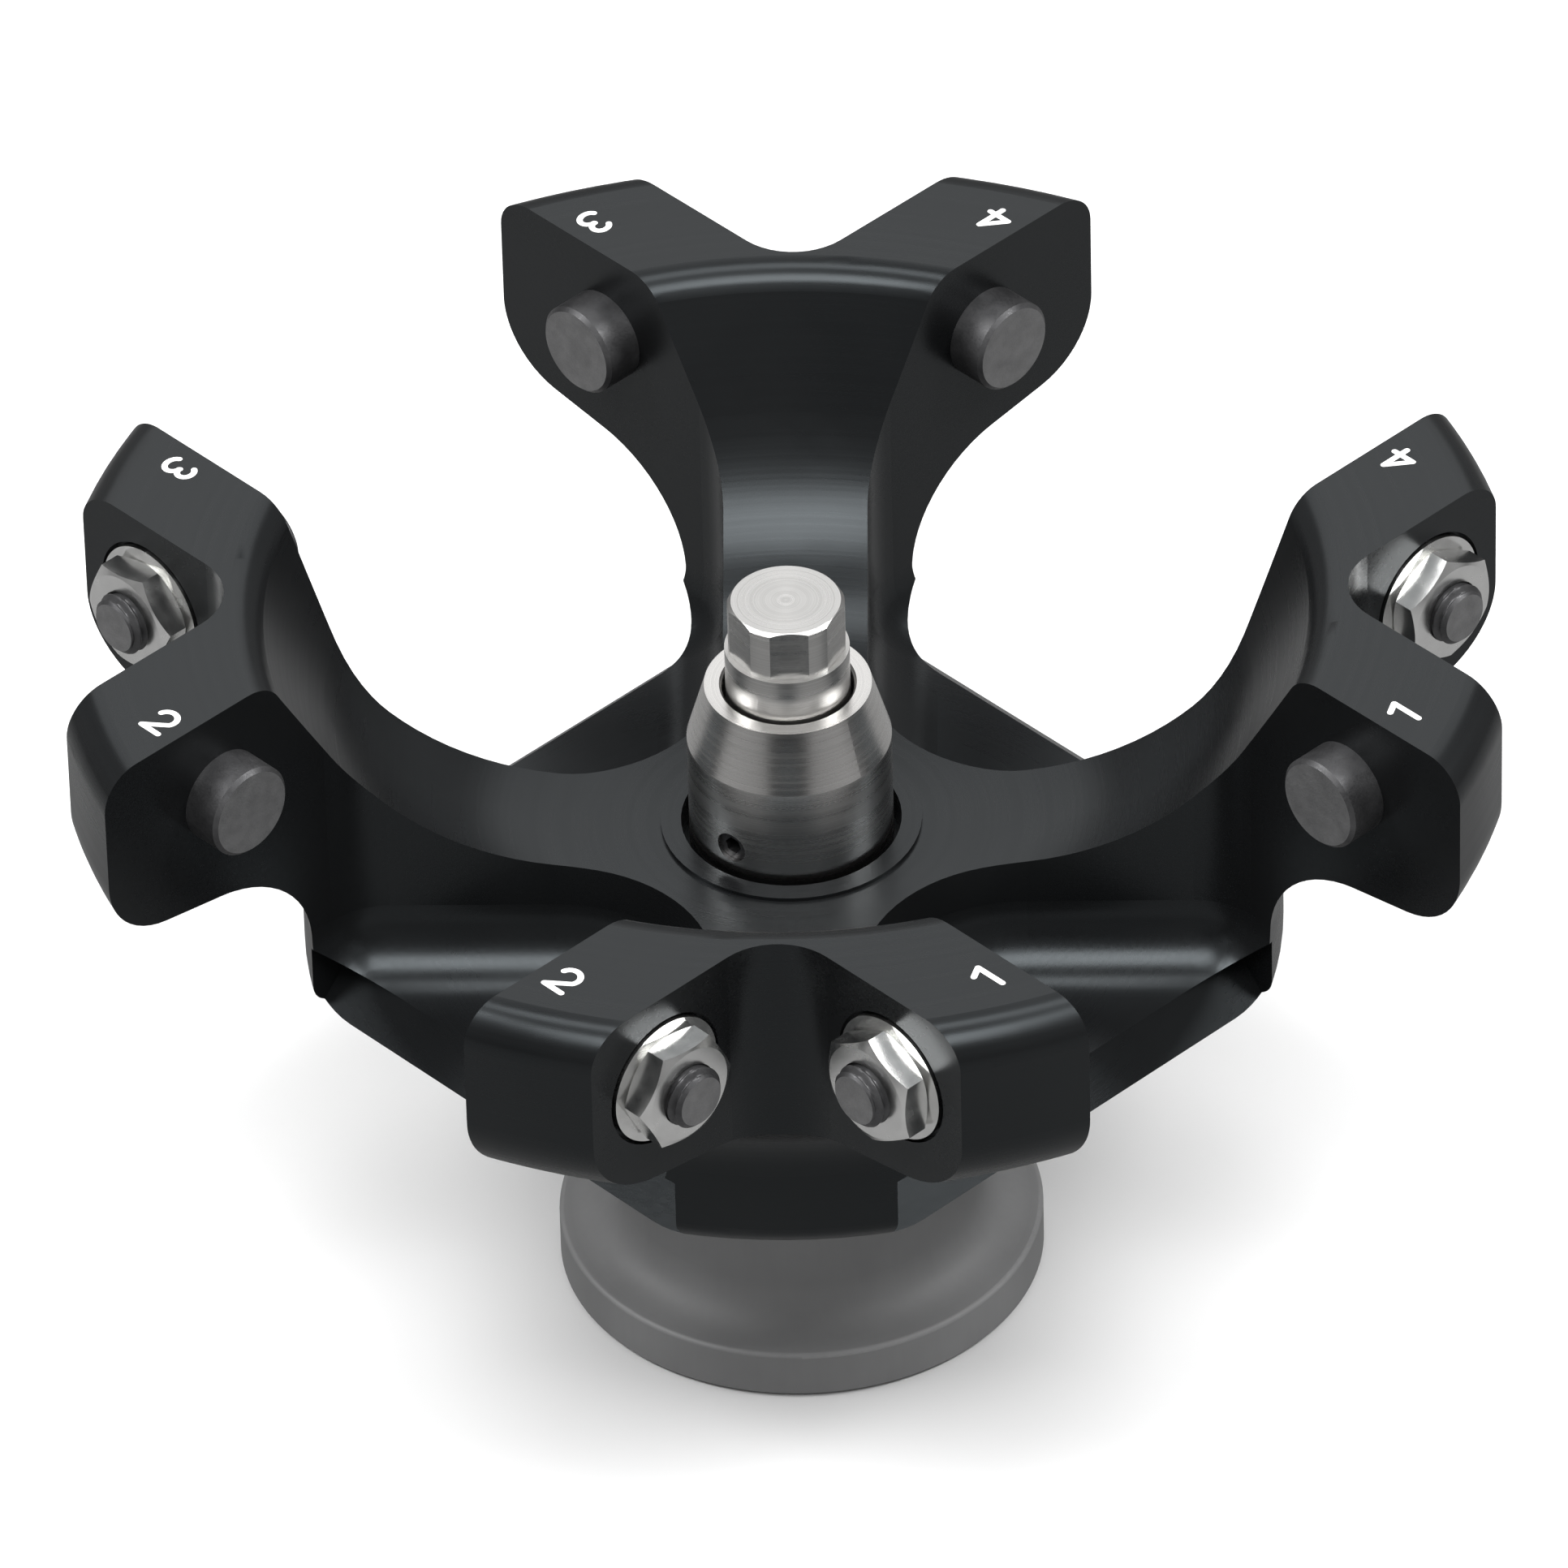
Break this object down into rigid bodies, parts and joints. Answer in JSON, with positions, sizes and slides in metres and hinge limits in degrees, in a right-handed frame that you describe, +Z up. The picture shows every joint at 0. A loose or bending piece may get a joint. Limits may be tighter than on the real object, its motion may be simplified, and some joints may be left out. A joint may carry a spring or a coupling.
{
  "type": "swing-out centrifuge rotor",
  "caption": "Swing-out centrifuge rotor without buckets: black star-shaped yoke with trunnion pins in open slots, steel centre sleeve with clamp bolt, grey base flange.",
  "frame": {"origin": "centre of the flange's lower face, on the rotor axis", "axes": "+Z up along the rotor axis; bucket places open along +X, -Y, -X and +Y"},
  "size_m": [0.1678, 0.1678, 0.1035],
  "materials": {
    "black_anodised": "machined, black anodised, satin",
    "blackened_steel": "turned steel, blackened, fine turning marks",
    "bright_zinc": "bright zinc plated",
    "stainless_steel": "turned and polished",
    "turned_steel": "turned, with concentric marks on the head",
    "dark_steel_screws": "black oxide",
    "blasted_aluminium": "bead-blasted, matt grey"
  },
  "bodies": {
    "rotor": {"rotor_yoke": "black_anodised", "trunnion_pin_1_left": "blackened_steel", "trunnion_pin_1_right": "blackened_steel", "trunnion_pin_2_left": "blackened_steel", "trunnion_pin_2_right": "blackened_steel", "trunnion_pin_3_left": "blackened_steel", "trunnion_pin_3_right": "blackened_steel", "trunnion_pin_4_left": "blackened_steel", "trunnion_pin_4_right": "blackened_steel", "trunnion_washer_1_left": "bright_zinc", "trunnion_washer_1_right": "bright_zinc", "trunnion_washer_2_left": "bright_zinc", "trunnion_washer_2_right": "bright_zinc", "trunnion_washer_3_left": "bright_zinc", "trunnion_washer_3_right": "bright_zinc", "trunnion_washer_4_left": "bright_zinc", "trunnion_washer_4_right": "bright_zinc", "trunnion_nut_1_left": "bright_zinc", "trunnion_nut_1_right": "bright_zinc", "trunnion_nut_2_left": "bright_zinc", "trunnion_nut_2_right": "bright_zinc", "trunnion_nut_3_left": "bright_zinc", "trunnion_nut_3_right": "bright_zinc", "trunnion_nut_4_left": "bright_zinc", "trunnion_nut_4_right": "bright_zinc", "centre_sleeve": "stainless_steel", "set_screw_front": "dark_steel_screws", "set_screw_back": "dark_steel_screws", "base_flange": "blasted_aluminium", "flange_screw_1": "dark_steel_screws", "flange_screw_2": "dark_steel_screws", "flange_screw_3": "dark_steel_screws", "flange_screw_4": "dark_steel_screws"},
    "thrust_ring": {"thrust_washer": "stainless_steel"},
    "clamp": {"clamp_bolt": "turned_steel", "retaining_ring": "blackened_steel"}
  },
  "joints": [
    {"name": "bolt_lift", "type": "slide", "parent": "rotor", "child": "thrust_ring", "axis": [0, 0, 1], "range_m": [0, 0.003]},
    {"name": "bolt_turn", "type": "hinge", "parent": "thrust_ring", "child": "clamp", "pos_m": [0, 0, 0.09], "axis": [0, 0, 1], "continuous": true}
  ]
}
